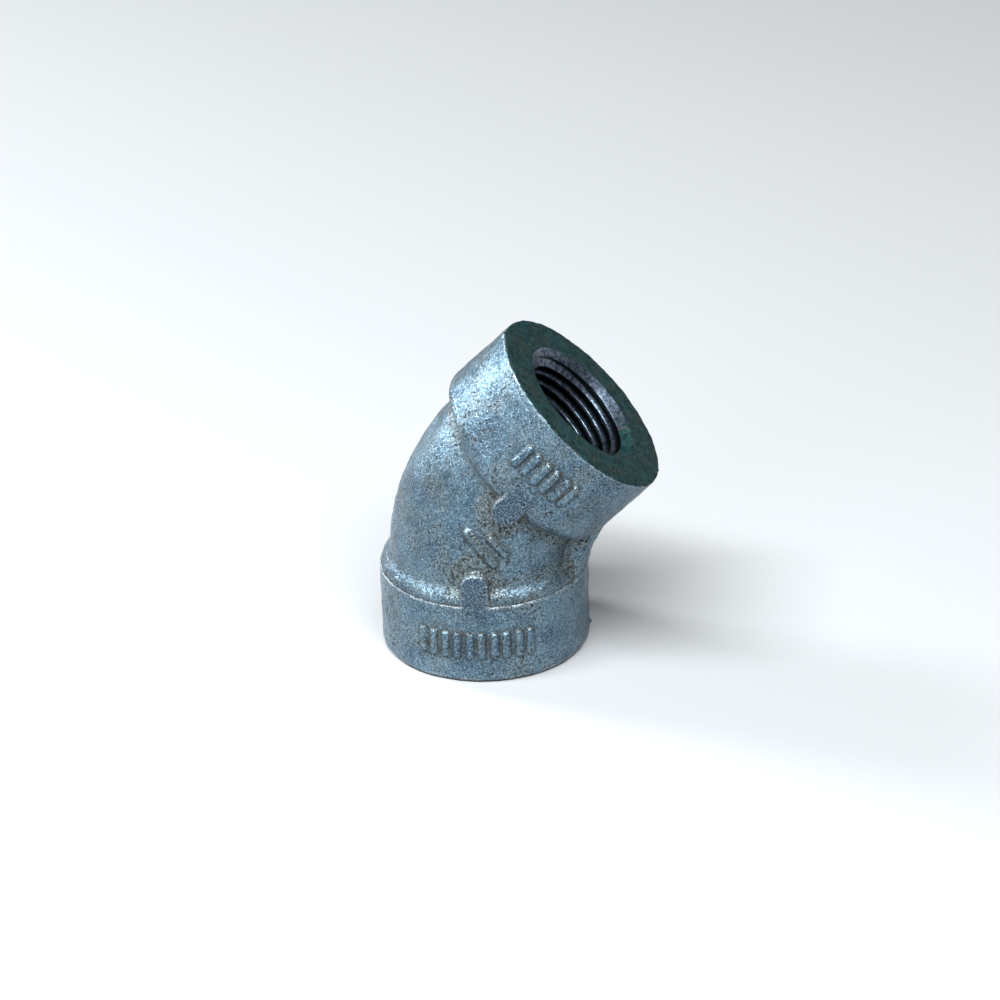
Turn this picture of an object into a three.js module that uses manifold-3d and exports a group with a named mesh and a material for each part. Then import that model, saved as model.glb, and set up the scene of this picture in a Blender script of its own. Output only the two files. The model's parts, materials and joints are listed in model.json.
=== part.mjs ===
// A 45 degree female-threaded pipe elbow of malleable iron, Class 300, for 1/2 inch NPT pipe.
//
// Frame: millimetres, +Z up. The elbow stands on the end face of its lower socket, in the plane
// z = 0, with the bend in the XZ plane and the upper socket leaning towards +X. The origin is
// below the middle of the bounding box.
//
// The real fitting is one casting. Its regions are separate solids here: two banded sockets, the
// hollow bend between them, the tapped lining of each socket, four round-ended ribs and the pad
// where the metal was poured in. Solids keep PARTING between them, so that none overlaps another.

import * as THREE from 'three';
import { ConvexGeometry } from 'three/addons/geometries/ConvexGeometry.js';
import { mergeVertices } from 'three/addons/utils/BufferGeometryUtils.js';
import Module from 'manifold-3d';

const wasm = await Module();
wasm.setup();

// Driving dimensions.
const BEND_ANGLE = THREE.MathUtils.degToRad(45);
const BEND_RADIUS = 25; // of the centreline
const BODY_RADIUS = 15.5; // outside of the bend
const CHAMBER_RADIUS = 11; // inside of the bend
const BAND_RADIUS = 17.5; // outside of both socket bands
const SHOULDER_HEIGHT = 2.2; // the rounded slope from a band down to the bend
const SHOULDER_ROUND = 1.6;
const LOWER_REACH = 26.4; // from the end face to the point where the two axes meet
const UPPER_REACH = 24.4;
const LOWER_BAND = 14.2; // length of the straight part of each band
const UPPER_BAND = 13.0;
const END_ROUND = 0.5; // outer edge of the end faces
const RIB_WIDTH = 4.7;
const LOWER_RIB_TIP = 20.1; // distance of the rib's tip from the end face
const UPPER_RIB_TIP = 18.9;
const PAD_HALF_ANGLE = THREE.MathUtils.degToRad(26); // the pad's half width, round the socket axis
const PARTING = 0.3;

// Taper pipe thread, 1/2 - 14 NPT.
const PITCH = 25.4 / 14;
const TAPER = 1 / 32; // radius lost per millimetre of depth
const CREST_RADIUS = 9.16; // at the end face
const THREAD_DEPTH = 1.4;
const MOUTH_RADIUS = 11.5; // outer edge of the 45 degree chamfer
const LINING_RADIUS = 11.8;
const SOCKET_BORE = LINING_RADIUS + PARTING;

const SEGMENTS = 64; // round each socket
const LINING_SEGMENTS = 28; // round each thread
const ROWS_PER_PITCH = 6;

const bendTangent = BEND_RADIUS * Math.tan(BEND_ANGLE / 2);
const upperAxis = new THREE.Vector3(Math.sin(BEND_ANGLE), 0, Math.cos(BEND_ANGLE));
const axesMeet = new THREE.Vector3(0, 0, LOWER_REACH);

// The upper socket's own frame: origin at its end face, +Z into the socket.
const upperFrame = new THREE.Matrix4()
  .makeRotationY(BEND_ANGLE + Math.PI)
  .setPosition(axesMeet.clone().addScaledVector(upperAxis, UPPER_REACH));

function solid(geometry) {
  const bare = geometry.clone();
  bare.deleteAttribute('normal');
  bare.deleteAttribute('uv');
  const merged = mergeVertices(bare, 1e-4);
  return new wasm.Manifold(new wasm.Mesh({
    numProp: 3,
    vertProperties: new Float32Array(merged.attributes.position.array),
    triVerts: new Uint32Array(merged.index.array),
  }));
}

function geometryOf(manifold) {
  const mesh = manifold.getMesh();
  const geometry = new THREE.BufferGeometry();
  geometry.setAttribute('position', new THREE.BufferAttribute(mesh.vertProperties, 3));
  geometry.setIndex(new THREE.BufferAttribute(mesh.triVerts, 1));
  geometry.computeVertexNormals();
  return geometry;
}

// A solid of revolution about Z from [radius, height] points that form a closed outline.
function revolve(outline) {
  const points = [...outline, outline[0]].map(([radius, height]) => new THREE.Vector2(radius, height));
  return solid(new THREE.LatheGeometry(points, SEGMENTS).rotateX(Math.PI / 2));
}

// Points of a quarter round from one angle to another, in degrees.
function round(centreRadius, centreHeight, size, from, to) {
  const steps = 4;
  return Array.from({ length: steps + 1 }, (_, i) => {
    const angle = THREE.MathUtils.degToRad(from + ((to - from) * i) / steps);
    return [centreRadius + size * Math.cos(angle), centreHeight + size * Math.sin(angle)];
  });
}

function rod(radius, length) {
  return solid(
    new THREE.CylinderGeometry(radius, radius, length, SEGMENTS)
      .rotateX(Math.PI / 2)
      .translate(0, 0, length / 2),
  );
}

// One banded socket in its own frame, with the shoulder collar that embraces the bend.
function bandedSocket(band) {
  const collarBore = BODY_RADIUS + PARTING;
  const top = band + SHOULDER_HEIGHT;
  return revolve([
    [SOCKET_BORE, 0],
    ...round(BAND_RADIUS - END_ROUND, END_ROUND, END_ROUND, -90, 0),
    ...round(BAND_RADIUS - SHOULDER_ROUND, top - SHOULDER_ROUND, SHOULDER_ROUND, 0, 90),
    [collarBore, top],
    [collarBore, band],
    [SOCKET_BORE, band],
  ]);
}

// A rib's outline stands upright, with a round end, and is as deep as the band is proud.
// side is -1 for the front and 1 for the back.
function rib(band, tip, side, margin) {
  const half = RIB_WIDTH / 2 + margin;
  const foot = band + PARTING - margin;
  const shape = new THREE.Shape();
  shape.moveTo(-half, foot);
  shape.lineTo(half, foot);
  shape.lineTo(half, tip - RIB_WIDTH / 2);
  shape.absarc(0, tip - RIB_WIDTH / 2, half, 0, Math.PI, false);
  shape.closePath();
  const depth = BAND_RADIUS - BODY_RADIUS + 1;
  const block = solid(
    new THREE.ExtrudeGeometry(shape, { depth, bevelEnabled: false, curveSegments: 12 })
      .rotateX(Math.PI / 2)
      .translate(0, side < 0 ? -BODY_RADIUS + 1 : BAND_RADIUS, 0),
  );
  return block.intersect(rod(BAND_RADIUS + margin, tip + BAND_RADIUS));
}

// The pad fills the crotch between the bands and is flush with both.
function throatPad(margin, place = new THREE.Matrix4()) {
  const halfAngle = PAD_HALF_ANGLE + margin / BAND_RADIUS;
  const steps = 8;
  const points = [];
  for (let i = 0; i <= steps; i += 1) {
    const angle = halfAngle * ((2 * i) / steps - 1);
    for (const radius of [CHAMBER_RADIUS, BAND_RADIUS + margin]) {
      const across = radius * Math.cos(angle);
      const aside = radius * Math.sin(angle);
      points.push(new THREE.Vector3(across, aside, LOWER_BAND + PARTING - margin));
      points.push(
        new THREE.Vector3(-across, aside, UPPER_BAND + PARTING - margin).applyMatrix4(upperFrame),
      );
    }
  }
  return solid(new ConvexGeometry(points).applyMatrix4(place));
}

// The bend's centreline, which stops short of both bands.
function centreline(clearance) {
  const path = new THREE.CurvePath();
  const arcStart = new THREE.Vector3(0, 0, LOWER_REACH - bendTangent);
  const arcEnd = axesMeet.clone().addScaledVector(upperAxis, bendTangent);
  path.add(new THREE.LineCurve3(new THREE.Vector3(0, 0, LOWER_BAND + clearance), arcStart));
  path.add(new BendArc(arcStart));
  const end = axesMeet.clone().addScaledVector(upperAxis, UPPER_REACH - UPPER_BAND - clearance);
  path.add(new THREE.LineCurve3(arcEnd, end));
  return path;
}

class BendArc extends THREE.Curve {
  constructor(start) {
    super();
    this.start = start;
  }

  getPoint(t, target = new THREE.Vector3()) {
    const angle = BEND_ANGLE * t;
    return target
      .set(BEND_RADIUS * (1 - Math.cos(angle)), 0, BEND_RADIUS * Math.sin(angle))
      .add(this.start);
  }
}

function circle(radius, Kind) {
  const outline = new Kind();
  outline.absarc(0, 0, radius, 0, 2 * Math.PI, false);
  return outline;
}

function sweptBend(section, clearance, place = new THREE.Matrix4()) {
  const tube = new THREE.ExtrudeGeometry(section, {
    steps: 11,
    curveSegments: SEGMENTS / 2,
    extrudePath: centreline(clearance),
  });
  return solid(tube.applyMatrix4(place));
}

function hollowBend() {
  const section = circle(BODY_RADIUS, THREE.Shape);
  section.holes.push(circle(CHAMBER_RADIUS, THREE.Path));
  return sweptBend(section, PARTING);
}

// The tapped bore's radius: a right-hand taper thread, cut away by the chamfer at the mouth.
function boreRadius(height, angle) {
  const turn = height / PITCH - angle / (2 * Math.PI);
  const groove = 1 - Math.abs(2 * (turn - Math.floor(turn)) - 1);
  const thread = CREST_RADIUS - TAPER * height + THREAD_DEPTH * groove;
  return Math.max(thread, MOUTH_RADIUS - height);
}

// The tapped lining of a socket: a ring whose inner wall is moved onto the thread.
function tappedLining(band) {
  const rows = Math.round((band / PITCH) * ROWS_PER_PITCH);
  const outline = [new THREE.Vector2(LINING_RADIUS, 0), new THREE.Vector2(LINING_RADIUS, band)];
  for (let row = rows; row >= 0; row -= 1) {
    outline.push(new THREE.Vector2(CREST_RADIUS, (band * row) / rows));
  }
  outline.push(outline[0]);
  const ring = new THREE.LatheGeometry(outline, LINING_SEGMENTS).rotateX(Math.PI / 2);
  const position = ring.attributes.position;
  for (let i = 0; i < position.count; i += 1) {
    const [x, y, height] = [position.getX(i), position.getY(i), position.getZ(i)];
    if (Math.hypot(x, y) < (CREST_RADIUS + LINING_RADIUS) / 2) {
      const angle = Math.atan2(y, x);
      const radius = boreRadius(height, angle);
      position.setXYZ(i, radius * Math.cos(angle), radius * Math.sin(angle), height);
    }
  }
  return solid(ring);
}

function material(color, roughness, metalness) {
  return new THREE.MeshStandardMaterial({ color, roughness, metalness });
}

const zinc = () => material(0x87a5bc, 0.5, 0.6);
const bareSteel = () => material(0x4a5560, 0.3, 0.9);
const part = new THREE.Group();

function addPiece(name, manifold, look, frame) {
  const mesh = new THREE.Mesh(geometryOf(manifold), look);
  mesh.name = name;
  if (frame) mesh.applyMatrix4(frame);
  part.add(mesh);
}

// What is cut out of each socket, placed in that socket's own frame.
const intoUpper = upperFrame.clone().invert();
const padSpace = throatPad(PARTING);
const upperPadSpace = throatPad(PARTING, intoUpper);
const bendOutline = circle(BODY_RADIUS + PARTING, THREE.Shape);
const bendSpace = sweptBend(bendOutline, 0);
const upperBendSpace = sweptBend(bendOutline, 0, intoUpper);

const SOCKETS = [
  { name: 'lower', band: LOWER_BAND, tip: LOWER_RIB_TIP, pad: padSpace, bend: bendSpace },
  {
    name: 'upper',
    band: UPPER_BAND,
    tip: UPPER_RIB_TIP,
    pad: upperPadSpace,
    bend: upperBendSpace,
    frame: upperFrame,
  },
];

for (const { name, band, tip, pad, bend, frame } of SOCKETS) {
  const socket = bandedSocket(band)
    .subtract(pad)
    .subtract(rib(band, tip, -1, PARTING))
    .subtract(rib(band, tip, 1, PARTING));
  addPiece(`${name}_socket`, socket, zinc(), frame);
  addPiece(`${name}_thread`, tappedLining(band), bareSteel(), frame);
  addPiece(`${name}_rib_front`, rib(band, tip, -1, 0).subtract(bend), zinc(), frame);
  addPiece(`${name}_rib_back`, rib(band, tip, 1, 0).subtract(bend), zinc(), frame);
}

addPiece('elbow_body', hollowBend(), zinc());
addPiece('throat_pad', throatPad(0).subtract(bendSpace), zinc());

// The bounding box reaches from the lower band to the upper end face's far edge.
const rimReach = UPPER_REACH + BAND_RADIUS - 2 * END_ROUND;
const rightmost = rimReach * Math.sin(BEND_ANGLE) + END_ROUND;
part.position.x = (BAND_RADIUS - rightmost) / 2;
part.updateMatrixWorld(true);

export default part;
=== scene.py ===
"""A galvanised 45 degree pipe elbow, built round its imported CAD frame.

The casting is one surface: rays from the bend's sections find where a signed distance is zero, so
bands, shoulders, ribs, pad and raised marks run into each other with cast fillets. It is parted
where the frame parts it. The two tapped linings are helical surfaces of their own.
Lengths are millimetres until a mesh is made, and metres for the camera, the lights and the floor.
"""

import json
import math

import bpy
import numpy as np
from mathutils import Matrix, Vector


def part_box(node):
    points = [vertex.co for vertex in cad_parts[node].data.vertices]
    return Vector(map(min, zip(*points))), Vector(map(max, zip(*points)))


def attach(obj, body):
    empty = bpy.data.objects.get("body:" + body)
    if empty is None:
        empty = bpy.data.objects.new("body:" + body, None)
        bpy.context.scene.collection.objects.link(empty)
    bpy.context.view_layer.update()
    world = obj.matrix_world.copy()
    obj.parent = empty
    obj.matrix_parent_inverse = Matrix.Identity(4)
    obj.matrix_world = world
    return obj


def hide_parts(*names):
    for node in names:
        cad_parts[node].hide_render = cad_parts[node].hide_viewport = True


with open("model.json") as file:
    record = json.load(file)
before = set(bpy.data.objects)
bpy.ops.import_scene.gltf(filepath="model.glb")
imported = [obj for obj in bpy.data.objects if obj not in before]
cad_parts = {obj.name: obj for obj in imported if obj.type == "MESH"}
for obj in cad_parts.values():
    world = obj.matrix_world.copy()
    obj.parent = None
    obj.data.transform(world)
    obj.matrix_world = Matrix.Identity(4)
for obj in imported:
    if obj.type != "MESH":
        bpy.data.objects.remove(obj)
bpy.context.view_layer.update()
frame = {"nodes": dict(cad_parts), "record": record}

MM = 0.001

# Sizes from the frame.
low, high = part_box("lower_socket")
AXIS_X = (low.x + high.x) / 2 / MM
BAND_RADIUS = (high.y - low.y) / 2 / MM
LOWER_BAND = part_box("lower_thread")[1].z / MM
upper_mount = next(m for m in frame["record"]["mounts"] if m["name"] == "upper_end_face")
UPPER_AXIS = np.array(upper_mount["axis"])
UPPER_INWARD = np.array([UPPER_AXIS[2], 0, -UPPER_AXIS[0]])  # towards the crotch
UPPER_END = np.array([upper_mount["pos_m"][0] / MM - AXIS_X, 0, upper_mount["pos_m"][2] / MM])
BEND_ANGLE = math.atan2(UPPER_AXIS[0], UPPER_AXIS[2])
UPPER_REACH = UPPER_END[0] / UPPER_AXIS[0]
LOWER_REACH = UPPER_END[2] - UPPER_REACH * UPPER_AXIS[2]
upper_lining = np.array([v.co for v in frame["nodes"]["upper_thread"].data.vertices]) / MM
UPPER_BAND = float(((UPPER_END - upper_lining + [AXIS_X, 0, 0]) @ UPPER_AXIS).max())

# The bend. Its outside narrows a little from the lower band to the upper.
BODY_RADIUS_LOW, BODY_RADIUS_HIGH = 15.8, 15.05
BEND_RADIUS = 25.0
CHAMBER_RADIUS = 11.0

# The bands, and the rolled shoulder at the inner edge of each.
LOWER_END_ROUND, UPPER_END_ROUND = 1.2, 0.5
INNER_EDGE_ROUND = 0.25
LOWER_ROLL = (2.2, 2.2, 0.25)  # radius outside and inside the bend, and drop below the band
UPPER_ROLL = (1.3, 3.2, 0.04)
ROLL_CHANGE = (-15.5, -8.0)  # where across the socket one radius gives way to the other
ROLL_SHIFT = 0.1
LOWER_FILLET, UPPER_FILLET, ROLL_FILLET = 1.3, 0.7, 0.12

# The ribs.
RIB_HALF_WIDTH = 2.35
LOWER_RIB_TIP, UPPER_RIB_TIP = 20.1, 18.9  # from the end faces
RIB_FOOT = 2  # length buried in the band
RIB_DROP = 0.05  # of the rib's face below the band's
RIB_ROUND, RIB_FILLET = 0.3, 0.3

# The pad. Along it, 0 is at the lower band and 1 at the upper.
PAD_HALF_WIDTH = 7.3
PAD_HALF_SPAN = 0.56
PAD_LENGTH = 12
PAD_HOLLOW = 0.2
PAD_ROUND, PAD_FILLET = 0.5, 0.5

# The raised marks: plain bars along the bands, and two slanting ones on the bend.
MARK_HEIGHT, BEND_MARK_HEIGHT = 0.65, 0.9
MARK_HALF_WIDTH, MARK_HALF_LENGTH = 0.75, 2.5
MARK_DEPTH = 7.1  # of the bars' middles from the end face
MARK_REACH = 2  # a bar counts only this near its band's surface
LOWER_MARKS = [math.radians(13.5 * k + side) for k in (-2, -1, 0, 1, 2) for side in (-3.2, 3.2)]
UPPER_MARKS = [math.radians(13.7 * k + side) for k in (-1, 0, 1) for side in (-3.2, 3.2)]
BEND_MARK_X, BEND_MARK_Z = 2.1, 25.1
BEND_MARK_RIGHT, BEND_MARK_DOWN = 0.61, 0.79  # the way that the bars point
BEND_MARKS = [(0, -1.3, 4.3), (1.4, 1.3, 2.7)]  # place along and aside, and half length
FAR_FROM_MARKS = 9.0

# The cast skin's seam and small lumps, and its roughness on the pad.
SEAM_HALF_WIDTH, SEAM_HEIGHT = 0.28, 0.11
SPUR_HEIGHT = 0.4
PAD_ROUGHNESS = 0.2

# How far from the surface the traits that colour the casting are felt.
SHELTER_REACH, HOLLOW_REACH, CREASE_REACH, WEAR_AND_HIGHLIGHT_REACH = 5.0, 0.9, 0.35, 0.5
MARK_HOLLOW, MARK_CREASE = 0.17, 0.32  # least of these traits just outside a mark

# Taper pipe thread, 1/2 - 14 NPT.
PITCH = 25.4 / 14
TAPER = 1 / 32
CREST_RADIUS = 9.16
THREAD_DEPTH = 1.4
FLANK_SLOPE, CREST_FLAT = 1.35, 0.3  # make the crests flat
MOUTH_RADIUS = 11.5
FILM_SIDE = 0.25  # angle from the crotch at which the chamfer carries the end face's film

# How finely the surfaces are cut.
COLUMNS = 720
ROW_STEP = 0.16
END_ROWS = [0, 0.02, 0.06, 0.12, 0.2, 0.3, 0.42, 0.56, 0.72, 0.9]  # close together round the edge
FAN_ROWS = 124
FAN_CROWDING = 0.6  # draws the bend's rows towards the bands
CHAMBER_EVERY = 12
FACE_RADII = [16.2, 15.2, 14.2, 13.2, 12.2, MOUTH_RADIUS]
THREAD_COLUMNS = 192
ROWS_PER_PITCH = 16
RAY_START, RAY_END, RAY_HALVINGS = 6.0, 24.0, 20


# ---------------------------------------------------------------- fields


def smooth_step(low_edge, high_edge, value):
    t = np.clip((value - low_edge) / (high_edge - low_edge), 0, 1)
    return t * t * (3 - 2 * t)


def smooth_min(a, b, size):
    """The lower of two fields, with a fillet where they meet."""
    overlap = np.maximum(size - np.abs(a - b), 0)
    return np.minimum(a, b) - overlap * overlap / (4 * size)


def smooth_max(a, b, size):
    return -smooth_min(-a, -b, size)


def lattice_noise(points, size, seed):
    """Smooth noise from -1 to 1 with features of the given size."""
    table = np.random.default_rng(seed).random(4096) * 2 - 1
    scaled = points / size
    cell = np.floor(scaled).astype(np.int64)
    part = scaled - cell
    fade = part * part * part * (part * (part * 6 - 15) + 10)
    total = np.zeros(len(points))
    for corner in np.ndindex(2, 2, 2):
        place = cell + corner
        key = (place[:, 0] * 73856093) ^ (place[:, 1] * 19349663) ^ (place[:, 2] * 83492791)
        weight = np.prod(np.where(corner, fade, 1 - fade), axis=1)
        total += weight * table[key & 4095]
    return total


def oblong(along, across, half_length, half_width):
    """Signed distance to a bar with round ends."""
    return np.hypot(np.maximum(np.abs(along) - half_length + half_width, 0), across) - half_width


def lower_coordinates(p):
    """Depth from the end face, offset towards the crotch, and offset along Y."""
    return p[:, 2], p[:, 0], p[:, 1]


def upper_coordinates(p):
    from_end = p - UPPER_END
    return -(from_end @ UPPER_AXIS), from_end @ UPPER_INWARD, p[:, 1]


def bend_field(p):
    """Signed distance to a tube along the bend's centreline: straight, arc, straight."""
    tangent = BEND_RADIUS * math.tan(BEND_ANGLE / 2)
    x, y, z = p[:, 0], p[:, 1], p[:, 2] - (LOWER_REACH - tangent)
    angle = np.arctan2(z, BEND_RADIUS - x)
    in_plane = np.where(angle < 0, x, BEND_RADIUS - np.hypot(BEND_RADIUS - x, z))
    in_plane = np.where(angle > BEND_ANGLE, upper_coordinates(p)[1], in_plane)
    along = np.clip(angle / BEND_ANGLE, 0, 1)
    return np.hypot(in_plane, y) - BODY_RADIUS_LOW - (BODY_RADIUS_HIGH - BODY_RADIUS_LOW) * along


def band_field(depth, across, y, band, end_round, roll):
    """A cylinder with a rolled shoulder just inside its inner edge."""
    outside = np.hypot(across, y) - BAND_RADIUS
    cylinder = smooth_max(smooth_max(outside, depth - band, INNER_EDGE_ROUND), -depth, end_round)
    outer, inner, drop = roll
    radius = outer + (inner - outer) * smooth_step(*ROLL_CHANGE, across)
    rolled = np.hypot(outside + drop + radius, depth - band - ROLL_SHIFT) - radius
    return smooth_min(cylinder, rolled, ROLL_FILLET)


def rib_outline(depth, across, tip):
    """Signed distance to a strip with a round end."""
    centre = tip - RIB_HALF_WIDTH
    return np.where(depth > centre, np.hypot(across, depth - centre), np.abs(across)) - RIB_HALF_WIDTH


def rib_field(depth, across, y, band, tip):
    outline = np.maximum(rib_outline(depth, across, tip), band - RIB_FOOT - depth)
    return smooth_max(outline, np.hypot(across, y) - BAND_RADIUS + RIB_DROP, RIB_ROUND)


def rib_face(p):
    """One on the flat faces of the ribs, fading out into the bands."""
    face = 0
    for (depth, across, _), band, tip in [
        (lower_coordinates(p), LOWER_BAND, LOWER_RIB_TIP),
        (upper_coordinates(p), UPPER_BAND, UPPER_RIB_TIP),
    ]:
        inside = 1 - smooth_step(-0.25, 0.05, rib_outline(depth, across, tip))
        face = np.maximum(face, inside * smooth_step(band - 4, band + 0.5, depth))
    return face


# The bands' inner planes meet in a line beyond the crotch. The bend's sections fan out round it.
HINGE_X = (UPPER_REACH - UPPER_BAND + (LOWER_REACH - LOWER_BAND) * UPPER_AXIS[2]) / UPPER_AXIS[0]
HINGE = np.array([HINGE_X, 0, LOWER_BAND])
UPPER_HINGE_REACH = float((HINGE - UPPER_END) @ UPPER_INWARD)


def pad_field(p):
    """The rough pad in the crotch, flush with both bands."""
    along = np.arctan2(p[:, 2] - HINGE[2], HINGE[0] - p[:, 0]) / BEND_ANGLE
    from_hinge = np.hypot(p[:, 0] - HINGE[0], p[:, 2] - HINGE[2])
    reach = HINGE_X + (UPPER_HINGE_REACH - HINGE_X) * np.clip(along, 0, 1)
    rim = np.sqrt(np.maximum(BAND_RADIUS**2 - p[:, 1] ** 2, 0))
    halfway = math.cos(BEND_ANGLE / 2)
    height = from_hinge * np.cos(BEND_ANGLE * (along - 0.5))
    hollow = PAD_HOLLOW * np.sin(math.pi * np.clip(along, 0, 1))
    top = np.maximum((reach - rim) * halfway + hollow - height, from_hinge - reach)
    side = np.abs(p[:, 1]) - PAD_HALF_WIDTH
    ends = (np.abs(along - 0.5) - PAD_HALF_SPAN) * PAD_LENGTH
    return smooth_max(smooth_max(top, side, PAD_ROUND), ends, PAD_ROUND)


def mark_distances(p):
    """Signed distances to the raised marks' outlines, on the bands and on the bend."""
    on_bands = np.full(len(p), FAR_FROM_MARKS)
    for (depth, across, y), marks in [
        (lower_coordinates(p), LOWER_MARKS),
        (upper_coordinates(p), UPPER_MARKS),
    ]:
        around = np.arctan2(across, -y)
        off_band = np.maximum(np.abs(np.hypot(across, y) - BAND_RADIUS) - MARK_REACH, 0)
        for mark in marks:
            from_mark = (around - mark) * BAND_RADIUS
            bar = oblong(depth - MARK_DEPTH, from_mark, MARK_HALF_LENGTH, MARK_HALF_WIDTH)
            on_bands = np.minimum(on_bands, bar + off_band)
    x, z = p[:, 0] - BEND_MARK_X, p[:, 2] - BEND_MARK_Z
    along = x * BEND_MARK_RIGHT - z * BEND_MARK_DOWN
    aside = x * BEND_MARK_DOWN + z * BEND_MARK_RIGHT
    bars = [oblong(along - a, aside - b, half, MARK_HALF_WIDTH) for a, b, half in BEND_MARKS]
    return on_bands, np.where(p[:, 1] < 0, np.minimum(*bars), FAR_FROM_MARKS)


def bead(distance, height):
    """Height of a round-topped bar, inside its outline."""
    rise = np.clip(-distance / MARK_HALF_WIDTH, 0, 1)
    return height * np.sqrt(1 - (1 - rise) ** 2)


def relief(p):
    on_bands, on_bend = mark_distances(p)
    return bead(on_bands, MARK_HEIGHT) + bead(on_bend, BEND_MARK_HEIGHT)


def casting_field(p):
    """Zero on the casting's surface before its skin is roughened, and positive outside it."""
    lower, upper = lower_coordinates(p), upper_coordinates(p)
    lower_band = band_field(*lower, LOWER_BAND, LOWER_END_ROUND, LOWER_ROLL)
    upper_band = band_field(*upper, UPPER_BAND, UPPER_END_ROUND, UPPER_ROLL)
    field = smooth_min(bend_field(p), lower_band, LOWER_FILLET)
    field = smooth_min(field, upper_band, UPPER_FILLET)
    field = smooth_min(field, rib_field(*lower, LOWER_BAND, LOWER_RIB_TIP), RIB_FILLET)
    field = smooth_min(field, rib_field(*upper, UPPER_BAND, UPPER_RIB_TIP), RIB_FILLET)
    return smooth_min(field, pad_field(p), PAD_FILLET) - relief(p)


# ---------------------------------------------------------------- surface


def end_depths(band):
    """Depths of a band's rows of points below its end face."""
    return np.concatenate([END_ROWS, np.arange(1.1, band, ROW_STEP)])


def fan_stations():
    """Section centres and inward directions of the lower band, the bend and the upper band."""
    lower = end_depths(LOWER_BAND)
    upper = end_depths(UPPER_BAND)[::-1]
    u = np.linspace(0, 1, FAN_ROWS)
    angle = BEND_ANGLE * (u - FAN_CROWDING * np.sin(2 * math.pi * u) / (2 * math.pi))
    reach = HINGE_X + (UPPER_HINGE_REACH - HINGE_X) * u
    inward = np.stack([np.cos(angle), 0 * angle, -np.sin(angle)], axis=1)
    fan = HINGE - inward * reach[:, None]
    return [
        (
            np.concatenate([np.outer(lower, [0, 0, 1]), fan[:1]]),
            np.tile([1.0, 0, 0], (len(lower) + 1, 1)),
        ),
        (fan, inward),
        (
            np.concatenate([fan[-1:], UPPER_END - np.outer(upper, UPPER_AXIS)]),
            np.tile(UPPER_INWARD, (len(upper) + 1, 1)),
        ),
    ]


def section_directions(inward):
    theta = np.linspace(0, 2 * math.pi, COLUMNS, endpoint=False)
    across = inward[:, None, :] * np.cos(theta)[None, :, None]
    return across + np.array([0, 1.0, 0]) * np.sin(theta)[None, :, None]


def cast_rays(centres, directions):
    """Points where rays leave the casting, found by halving."""
    origin = np.repeat(centres, COLUMNS, axis=0)
    direction = directions.reshape(-1, 3)
    inside, outside = np.full(len(origin), RAY_START), np.full(len(origin), RAY_END)
    for _ in range(RAY_HALVINGS):
        middle = (inside + outside) / 2
        out = casting_field(origin + direction * middle[:, None]) > 0
        outside = np.where(out, middle, outside)
        inside = np.where(out, inside, middle)
    return origin + direction * ((inside + outside) / 2)[:, None]


def field_normals(p):
    step = 0.02
    slopes = [casting_field(p + step * axis) - casting_field(p - step * axis) for axis in np.eye(3)]
    normal = np.stack(slopes, axis=1)
    return normal / np.linalg.norm(normal, axis=1, keepdims=True)


# Small lumps on the skin, by place and reach: one on each band's seam, near its end face, and one
# above the lower front rib.
SPURS = [
    (np.array([17.5, 0, 2.4]), 0.45),
    (UPPER_END - UPPER_INWARD * 17.3 - UPPER_AXIS * 0.5, 0.7),
    (np.array([-0.3, -15.7, 21.0]), 0.75),
]


def skin_height(p):
    """How far the cast skin stands off its smooth shape. Each noise has a size and a seed."""
    pad = 1 - smooth_step(-0.3, 0.6, pad_field(p))
    height = 0.08 * lattice_noise(p, 6.0, 1) + 0.05 * lattice_noise(p, 2.1, 2)
    height += (0.035 + PAD_ROUGHNESS * pad) * lattice_noise(p, 0.95, 3)
    height += 0.035 * lattice_noise(p, 0.5, 4)
    broken = smooth_step(-0.4, 0.5, lattice_noise(p, 3.2, 5))
    seam = np.exp(-((p[:, 1] / SEAM_HALF_WIDTH) ** 2)) * broken
    height += SEAM_HEIGHT * seam
    for spur, reach in SPURS:
        height += SPUR_HEIGHT * np.exp(-(((p - spur) ** 2).sum(axis=1)) / reach**2)
    return height


def face_off(p):
    """Points beyond the machined end faces are cut back to them."""
    p = p - np.outer(np.minimum(lower_coordinates(p)[0], 0), [0, 0, 1])
    return p + np.outer(np.minimum(upper_coordinates(p)[0], 0), UPPER_AXIS)


def ring_mesh(name, rings, sharp_rings, attributes, flipped=False):
    """A closed mesh from rings of points, each joined to the next and the last to the first.

    The rings numbered in sharp_rings are hard edges. Each attribute has one value per point.
    """
    count, columns = len(rings), len(rings[0])
    ring, column = np.meshgrid(np.arange(count), np.arange(columns), indexing="ij")
    after, beside = (ring + 1) % count, (column + 1) % columns
    corners = [(ring, column), (ring, beside), (after, beside), (after, column)]
    if flipped:
        corners = [corners[0], corners[3], corners[2], corners[1]]
    quads = np.stack([(r * columns + c).ravel() for r, c in corners], axis=1)
    mesh = bpy.data.meshes.new(name)
    points = (np.concatenate(rings) + [AXIS_X, 0, 0]) * MM
    mesh.from_pydata(points.tolist(), [], quads.tolist())
    edge_ends = np.empty(len(mesh.edges) * 2, dtype=np.int32)
    mesh.edges.foreach_get("vertices", edge_ends)
    edge_rings = edge_ends.reshape(-1, 2) // columns
    sharp = (edge_rings[:, 0] == edge_rings[:, 1]) & np.isin(edge_rings[:, 0], sharp_rings)
    mesh.attributes.new("sharp_edge", "BOOLEAN", "EDGE").data.foreach_set("value", sharp)
    for label, values in attributes.items():
        layer = mesh.attributes.new(label, "FLOAT", "POINT")
        layer.data.foreach_set("value", np.asarray(values, dtype=np.float32).ravel())
    mesh.shade_smooth()
    piece = bpy.data.objects.new(name, mesh)
    bpy.context.scene.collection.objects.link(piece)
    return piece


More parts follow.
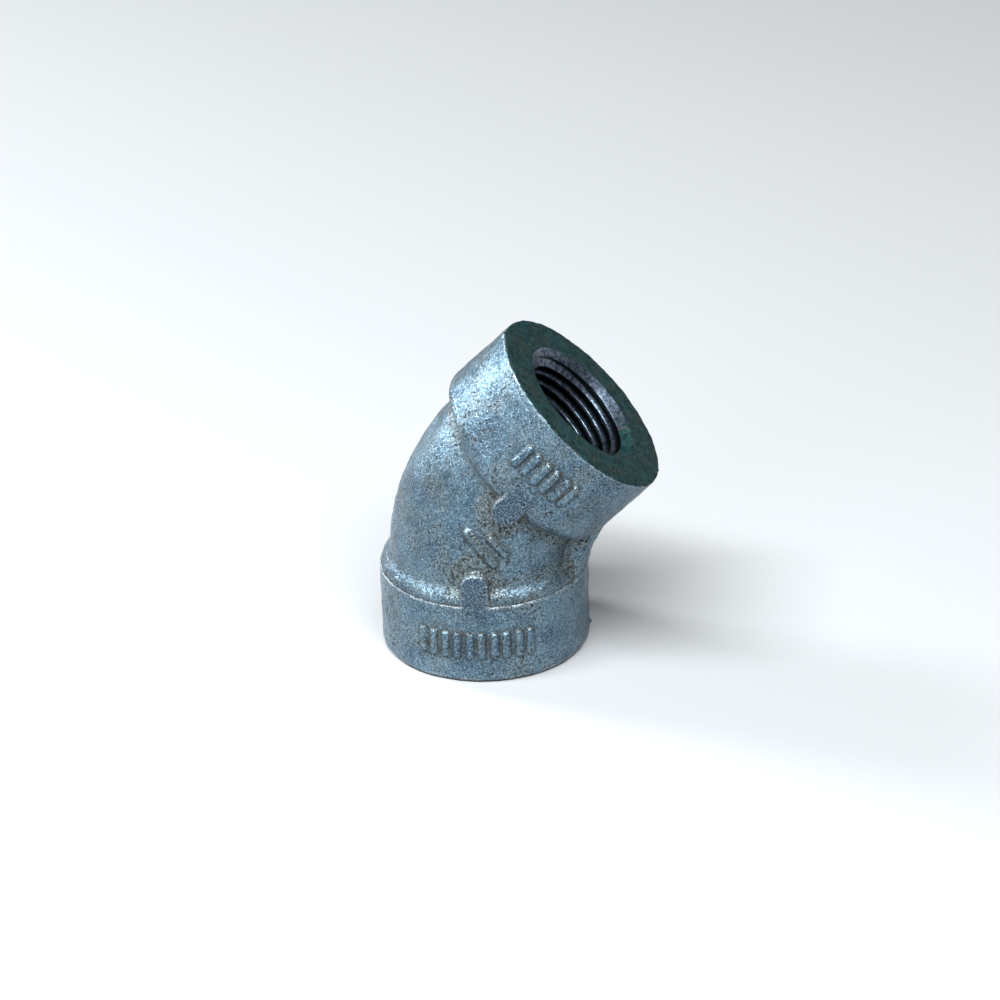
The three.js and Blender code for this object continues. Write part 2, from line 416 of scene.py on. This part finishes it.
def casting_rows(centres, inwards):
    """Skin points by row, with the traits that colour them."""
    directions = section_directions(inwards)
    smooth = cast_rays(centres, directions)
    normal = field_normals(smooth)
    sheltered = 1 - casting_field(smooth + normal * SHELTER_REACH) / SHELTER_REACH
    hollow = 1 - casting_field(smooth + normal * HOLLOW_REACH) / HOLLOW_REACH
    crease = 1 - casting_field(smooth + normal * CREASE_REACH) / CREASE_REACH
    # Convexity: the finish paints these edges pale, partly as wear and partly as painted highlight.
    wear_and_highlight = 1 + casting_field(smooth - normal * WEAR_AND_HIGHLIGHT_REACH) / WEAR_AND_HIGHLIGHT_REACH
    face = rib_face(smooth)
    from_mark = np.min(mark_distances(smooth), axis=0)
    beside_mark = smooth_step(-0.25, 0.1, from_mark) * (1 - smooth_step(0.2, 1.0, from_mark))
    hollow = np.maximum(hollow, MARK_HOLLOW * beside_mark)
    crease = np.maximum(crease, MARK_CREASE * beside_mark)
    skin = face_off(smooth + normal * skin_height(smooth)[:, None])
    shape = (len(centres), COLUMNS)
    traits = [a.reshape(shape) for a in (sheltered, hollow, crease, wear_and_highlight, face)]
    return skin.reshape(*shape, 3), traits


def trait_layers(traits, ring_count):
    """The traits as attributes, with zeros on the rings that aren't skin."""
    plain = np.zeros((ring_count - len(traits[0]), COLUMNS))
    names = ("sheltered", "hollow", "crease", "wear_and_highlight", "face")
    return {name: np.concatenate([a, plain]) for name, a in zip(names, traits)}


def build_socket(name, stations, end_first):
    """A band's skin, end face and bore. end_first: the stations start at the end face."""
    centres, inwards = stations
    rows, traits = casting_rows(centres, inwards)
    if not end_first:
        centres, inwards, rows, *traits = (a[::-1] for a in (centres, inwards, rows, *traits))
    directions = section_directions(inwards)
    rim = np.linalg.norm(rows[0] - centres[0], axis=1).mean()
    face = [centres[0] + directions[0] * radius for radius in FACE_RADII if radius < rim - 0.1]
    bore = [centres[k] + directions[k] * MOUTH_RADIUS for k in (-1, len(centres) // 2)]
    rings = list(rows) + bore + face[::-1]
    sharp = [len(rows) - 1, len(rows), len(rows) + 2]
    depth = np.linalg.norm(centres - centres[0], axis=1)
    film = np.concatenate([1 - smooth_step(0.0, 0.5, depth), [0, 0], [1] * len(face)])
    attributes = {**trait_layers(traits, len(rings)), "film": np.repeat(film, COLUMNS)}
    return ring_mesh(name, rings, sharp, attributes, flipped=not end_first)


def build_bend(name, stations):
    """The bend's skin, with its ribs and pad, and its chamber."""
    centres, inwards = stations
    rows, traits = casting_rows(centres, inwards)
    directions = section_directions(inwards)
    steps = list(range(len(centres) - 1, 0, -CHAMBER_EVERY)) + [0]
    chamber = [centres[k] + directions[k] * CHAMBER_RADIUS for k in steps]
    rings = list(rows) + chamber
    sharp = [0, len(rows) - 1, len(rows), len(rings) - 1]
    attributes = {**trait_layers(traits, len(rings)), "film": np.zeros(len(rings) * COLUMNS)}
    return ring_mesh(name, rings, sharp, attributes)


def build_thread(name, band, start, place):
    """A socket's tapped wall, from the end face to the band's inner plane.

    start is the part of a turn by which the thread is turned. place makes points of across, y
    and depth.
    """
    step = PITCH / ROWS_PER_PITCH
    rows = int(band / step)
    theta = 2 * math.pi * np.arange(THREAD_COLUMNS) / THREAD_COLUMNS
    lag = (np.arange(THREAD_COLUMNS) * ROWS_PER_PITCH / THREAD_COLUMNS) % 1
    rings, crest, mouth = [], [], []
    for row in range(rows + 1):
        depth = np.full_like(lag, band * (row > 0))
        if 0 < row < rows:
            depth = np.clip((row + lag) * step, 0, band)
        turn = depth / PITCH - theta / (2 * math.pi) + start
        groove = 1 - np.abs(2 * (turn - np.floor(turn)) - 1)
        groove = np.clip(groove * FLANK_SLOPE - CREST_FLAT, 0, 1)
        thread = CREST_RADIUS - TAPER * depth + THREAD_DEPTH * groove
        radius = np.maximum(thread, MOUTH_RADIUS - depth)
        rings.append(place(radius * np.cos(theta), radius * np.sin(theta), depth))
        crest.append(1 - groove)
        mouth.append(smooth_step(-0.05, 0.05, MOUTH_RADIUS - depth - thread))
    rings.append(place(MOUTH_RADIUS * np.cos(theta), MOUTH_RADIUS * np.sin(theta), depth))
    crest.append(0 * theta)
    mouth.append(0 * theta)
    film = np.tile(smooth_step(0.55, 0.85, np.cos(theta - FILM_SIDE)), len(rings))
    attributes = {"crest": np.concatenate(crest), "mouth": np.concatenate(mouth), "film": film}
    return ring_mesh(name, rings, [0, rows, rows + 1], attributes, flipped=True)


def lower_place(across, y, depth):
    return np.stack([across, y, depth], axis=1)


def upper_place(across, y, depth):
    # Y is turned over, so that the thread stays right-handed.
    sideways = np.outer(across, UPPER_INWARD) - np.outer(y, [0, 1, 0])
    return UPPER_END + sideways - np.outer(depth, UPPER_AXIS)


# ---------------------------------------------------------------- finishes

FILM_DARK, FILM_GREEN, FILM_BROWN = (0.001, 0.016, 0.019), (0.010, 0.052, 0.056), (0.024, 0.030, 0.021)
FILM_BLACK_SPECK, FILM_PALE_SPECK = (0.002, 0.005, 0.005), (0.06, 0.06, 0.045)
ZINC_DARK, ZINC_PALE, ZINC_WEATHERED = (0.065, 0.12, 0.17), (0.14, 0.23, 0.30), (0.115, 0.12, 0.09)
RIB_FACE = (0.05, 0.085, 0.125)
GRAIN_PALE, GRAIN_DARK, PIT = (0.38, 0.49, 0.57), (0.026, 0.042, 0.052), (0.028, 0.024, 0.018)
# The pale edge colour is partly wear and partly painted highlight on convex edges.
STAIN, CREASE_DIRT, WORN_EDGE_AND_HIGHLIGHT = (0.06, 0.047, 0.028), (0.045, 0.033, 0.02), (0.55, 0.65, 0.74)
# The groove colour is painted shade, nearly black.
CUT_DARK, CUT_BRIGHT, GROOVE_SHADE = (0.022, 0.034, 0.048), (0.16, 0.20, 0.26), (0.004, 0.008, 0.010)
SPECULAR_LEVEL = 0.2
FILM_ROUGHNESS, FILM_METALLIC = 0.6, 0.1


class Finish:
    """Builds one material's nodes. Texture sizes and bump heights are in millimetres."""

    def __init__(self, name):
        self.material = bpy.data.materials.new(name)
        self.material.use_nodes = True
        self.tree = self.material.node_tree
        self.shader = self.tree.nodes["Principled BSDF"]
        place = self.tree.nodes.new("ShaderNodeTexCoord").outputs["Object"]
        self.place = self.node("ShaderNodeVectorMath", {0: place, "Scale": 1 / MM}, operation="SCALE")

    def node(self, kind, inputs, output=0, **settings):
        node = self.tree.nodes.new(kind)
        for key, value in settings.items():
            setattr(node, key, value)
        for key, value in inputs.items():
            self.give(node.inputs[key], value)
        return node.outputs[output]

    def give(self, socket, value):
        if isinstance(value, bpy.types.NodeSocket):
            self.tree.links.new(value, socket)
        elif isinstance(value, tuple) and len(value) == 3 and socket.type == "RGBA":
            socket.default_value = (*value, 1)
        else:
            socket.default_value = value

    def attribute(self, name):
        return self.node("ShaderNodeAttribute", {}, "Fac", attribute_name=name)

    def noise(self, size, detail=2.0, rough=0.5):
        inputs = {"Vector": self.place, "Scale": 1 / size, "Detail": detail, "Roughness": rough}
        return self.node("ShaderNodeTexNoise", inputs, "Fac")

    def ramp(self, value, low_edge, high_edge, low_value=0.0, high_value=1.0):
        inputs = {0: value, 1: low_edge, 2: high_edge, 3: low_value, 4: high_value}
        return self.node("ShaderNodeMapRange", inputs, interpolation_type="SMOOTHSTEP")

    def math(self, operation, a, b):
        return self.node("ShaderNodeMath", {0: a, 1: b}, operation=operation)

    def mix(self, factor, a, b):
        return self.node("ShaderNodeMix", {0: factor, 6: a, 7: b}, 2, data_type="RGBA")

    def blend(self, factor, a, b):
        return self.node("ShaderNodeMix", {0: factor, 2: a, 3: b}, 0, data_type="FLOAT")

    def bump(self, height, distance):
        inputs = {"Strength": 1.0, "Distance": distance * MM, "Height": height}
        self.give(self.shader.inputs["Normal"], self.node("ShaderNodeBump", inputs))

    def finish(self, color, roughness, metallic):
        self.give(self.shader.inputs["Base Color"], color)
        self.give(self.shader.inputs["Roughness"], roughness)
        self.give(self.shader.inputs["Metallic"], metallic)
        return self.material


def film_color(f):
    """Dark green rust-proofing film, with brown patches and specks."""
    mottle = f.ramp(f.noise(1.3, 5.0, 0.75), 0.38, 0.66)
    green = f.mix(mottle, FILM_DARK, FILM_GREEN)
    green = f.mix(f.ramp(f.noise(2.6, 4.0, 0.75), 0.48, 0.64, 0.0, 0.7), green, FILM_BROWN)
    specks = f.noise(0.42, 3.0)
    green = f.mix(f.ramp(specks, 0.44, 0.34, 0.0, 0.7), green, FILM_BLACK_SPECK)
    return f.mix(f.ramp(specks, 0.56, 0.68, 0.0, 0.7), green, FILM_PALE_SPECK)


def galvanised_zinc():
    """Speckled zinc, weathered where it is sheltered, with stains, pits, film, and convex edges
    painted pale, partly as wear and partly as painted highlight.
    """
    f = Finish("galvanised_zinc")
    clouds = f.ramp(f.noise(5.5, 3.0), 0.3, 0.7)
    color = f.mix(clouds, ZINC_DARK, ZINC_PALE)
    hollow = f.ramp(f.attribute("hollow"), 0.03, 0.3)
    weather = f.ramp(f.noise(4.5, 5.0, 0.65), 0.42, 0.66)
    sheltered = f.ramp(f.attribute("sheltered"), 0.0, 0.4)
    weather = f.math("MAXIMUM", f.math("MULTIPLY", weather, 0.7), sheltered)
    color = f.mix(f.math("MULTIPLY", weather, 0.6), color, ZINC_WEATHERED)
    color = f.mix(f.math("MULTIPLY", f.attribute("face"), 0.85), color, RIB_FACE)
    grain = f.noise(0.3, 3.0, 0.7)
    color = f.mix(f.ramp(grain, 0.5, 0.66, 0.0, 0.65), color, GRAIN_PALE)
    color = f.mix(f.ramp(grain, 0.48, 0.36, 0.0, 0.72), color, GRAIN_DARK)
    dense = f.ramp(weather, 0.0, 1.0, 0.6, 0.54)
    pits = f.ramp(f.math("SUBTRACT", f.noise(0.5, 3.5, 0.65), dense), 0.0, 0.06)
    color = f.mix(f.math("MULTIPLY", pits, 0.85), color, PIT)
    patches = f.ramp(f.noise(1.2, 4.0, 0.7), 0.42, 0.62)
    stain = f.math("MULTIPLY", f.math("MULTIPLY", hollow, patches), 0.75)
    color = f.mix(stain, color, STAIN)
    crease = f.ramp(f.attribute("crease"), 0.15, 0.6)
    crease = f.math("MULTIPLY", crease, f.ramp(grain, 0.3, 0.5, 0.5, 0.9))
    color = f.mix(crease, color, CREASE_DIRT)
    # Convex edges are painted pale: partly wear, partly painted highlight.
    wear_and_highlight = f.math("MULTIPLY", f.ramp(f.attribute("wear_and_highlight"), 0.12, 0.42), f.ramp(grain, 0.35, 0.65))
    wear_and_highlight = f.math("MULTIPLY", wear_and_highlight, f.ramp(f.noise(2.4, 3.0), 0.4, 0.6, 0.25, 0.9))
    color = f.mix(wear_and_highlight, color, WORN_EDGE_AND_HIGHLIGHT)
    film = f.math("ADD", f.attribute("film"), f.ramp(f.noise(0.6, 2.0), 0.3, 0.7, -0.3, 0.3))
    film = f.ramp(film, 0.45, 0.6)
    color = f.mix(film, color, film_color(f))
    rough = f.blend(wear_and_highlight, f.ramp(grain, 0.3, 0.7, 0.41, 0.26), 0.22)
    rough = f.blend(f.math("MAXIMUM", stain, pits), rough, 0.75)
    rough = f.blend(film, rough, FILM_ROUGHNESS)
    bare_metal = f.blend(weather, 0.88, 0.6)
    metallic = f.blend(f.math("MAXIMUM", film, stain), bare_metal, FILM_METALLIC)
    f.give(f.shader.inputs["Specular IOR Level"], SPECULAR_LEVEL)
    f.bump(f.math("SUBTRACT", grain, f.math("MULTIPLY", pits, 0.8)), 0.1)
    return f.finish(color, rough, metallic)


def tapped_iron():
    """Freshly cut iron: bright crests, nearly black grooves painted as shade, and film on part of the
    chamfer.
    """
    f = Finish("tapped_iron")
    mottle = f.ramp(f.noise(0.7, 4.0, 0.65), 0.35, 0.68)
    cut = f.mix(mottle, CUT_DARK, CUT_BRIGHT)
    crest = f.ramp(f.attribute("crest"), 0.4, 0.95)
    outside_groove_shade = f.math("MAXIMUM", crest, f.attribute("mouth"))
    # Away from the crests and the mouth, the grooves are painted nearly black as shade.
    color = f.mix(outside_groove_shade, GROOVE_SHADE, cut)
    film = f.math("ADD", f.attribute("film"), f.ramp(f.noise(1.2, 3.0), 0.3, 0.7, -0.25, 0.25))
    film = f.math("MULTIPLY", f.ramp(film, 0.4, 0.7), f.attribute("mouth"))
    color = f.mix(film, color, film_color(f))
    rough = f.blend(outside_groove_shade, 0.4, f.blend(mottle, 0.42, 0.3))
    rough = f.blend(film, rough, FILM_ROUGHNESS)
    f.give(f.shader.inputs["Specular IOR Level"], SPECULAR_LEVEL)
    f.bump(f.noise(0.35, 3.0, 0.6), 0.03)
    return f.finish(color, rough, f.blend(film, 0.9, FILM_METALLIC))


casting = galvanised_zinc()
lower_stations, bend_stations, upper_stations = fan_stations()
ribs = [f"{end}_rib_{side}" for end in ("lower", "upper") for side in ("front", "back")]
for piece, nodes in [
    (build_socket("lower_socket_casting", lower_stations, True), ["lower_socket"]),
    (build_bend("bend_casting", bend_stations), ["elbow_body", "throat_pad", *ribs]),
    (build_socket("upper_socket_casting", upper_stations, False), ["upper_socket"]),
]:
    piece.data.materials.append(casting)
    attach(piece, "root")
    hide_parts(*nodes)

lining = tapped_iron()
for piece, node in [
    (build_thread("lower_thread_form", LOWER_BAND, 0, lower_place), "lower_thread"),
    (build_thread("upper_thread_form", UPPER_BAND, 0.5, upper_place), "upper_thread"),
]:
    piece.data.materials.append(lining)
    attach(piece, "root")
    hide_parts(node)


# ---------------------------------------------------------------- stage

CAMERA_YAW, CAMERA_ELEVATION, CAMERA_ROLL = 5.78, 27.98, -1.81  # degrees
CAMERA_AIM_HEIGHT = 20.59  # millimetres, as are the next three lines
CAMERA_DISTANCE = 704.8
CAMERA_RIGHT, CAMERA_UP = 2.87, 4.0
CAMERA_LENS = 151.6
LIGHTS_AIM = (0, 0, 0.028)
SKY_COLOR, SKY_STRENGTH = (0.85, 0.92, 1, 1), 0.1
PAPER_COLOR, PAPER_ROUGHNESS = (0.37, 0.375, 0.38), 0.8
FLOOR_HALF_SIDE = 3
# Name, place, width and height, watts, and color.
LIGHTS = [
    ("key", (-0.58, 0.26, 0.36), (0.16, 0.24), 4.9, (0.95, 0.98, 1.0)),
    ("top", (-0.08, -0.28, 0.62), (1.0, 0.1), 15.0, (0.95, 0.98, 1.0)),
    ("fill", (-0.34, -0.64, 0.28), (0.35, 0.35), 1.5, (0.88, 0.95, 1.0)),
]


def add_camera():
    yaw, elevation = math.radians(CAMERA_YAW), math.radians(CAMERA_ELEVATION)
    roll = math.radians(CAMERA_ROLL)
    aim = Vector((AXIS_X, 0, CAMERA_AIM_HEIGHT))
    flat = math.cos(elevation)
    away = Vector((math.sin(yaw) * flat, -math.cos(yaw) * flat, math.sin(elevation)))
    level = Vector((math.cos(yaw), math.sin(yaw), 0))
    upright = away.cross(level)
    right = level * math.cos(roll) + upright * math.sin(roll)
    up = upright * math.cos(roll) - level * math.sin(roll)
    camera = bpy.data.objects.new("camera", bpy.data.cameras.new("camera"))
    camera.data.lens = CAMERA_LENS
    camera.data.clip_start, camera.data.clip_end = 0.01, 10
    turn = Matrix((right, up, away)).transposed()
    place = (aim + right * CAMERA_RIGHT + up * CAMERA_UP + away * CAMERA_DISTANCE) * MM
    camera.matrix_world = Matrix.Translation(place) @ turn.to_4x4()
    bpy.context.scene.collection.objects.link(camera)
    bpy.context.scene.camera = camera


def add_light(name, place, size, power, color):
    light = bpy.data.lights.new(name, "AREA")
    light.shape = "RECTANGLE"
    light.size, light.size_y = size
    light.energy, light.color = power, color
    lamp = bpy.data.objects.new(name, light)
    lamp.location = place
    towards = Vector(LIGHTS_AIM) - Vector(place)
    lamp.rotation_euler = towards.to_track_quat("-Z", "Y").to_euler()
    bpy.context.scene.collection.objects.link(lamp)


def add_stage():
    mesh = bpy.data.meshes.new("floor")
    side = FLOOR_HALF_SIDE
    corners = [(-side, -side, 0), (side, -side, 0), (side, side, 0), (-side, side, 0)]
    mesh.from_pydata(corners, [], [(0, 1, 2, 3)])
    floor = bpy.data.objects.new("floor", mesh)
    bpy.context.scene.collection.objects.link(floor)
    paper = Finish("pale_paper")
    mesh.materials.append(paper.finish(PAPER_COLOR, PAPER_ROUGHNESS, 0.0))
    world = bpy.data.worlds.new("studio")
    world.use_nodes = True
    background = world.node_tree.nodes["Background"]
    background.inputs["Color"].default_value = SKY_COLOR
    background.inputs["Strength"].default_value = SKY_STRENGTH
    bpy.context.scene.world = world
    for light in LIGHTS:
        add_light(*light)


add_camera()
add_stage()
bpy.context.scene.view_settings.view_transform = "Standard"
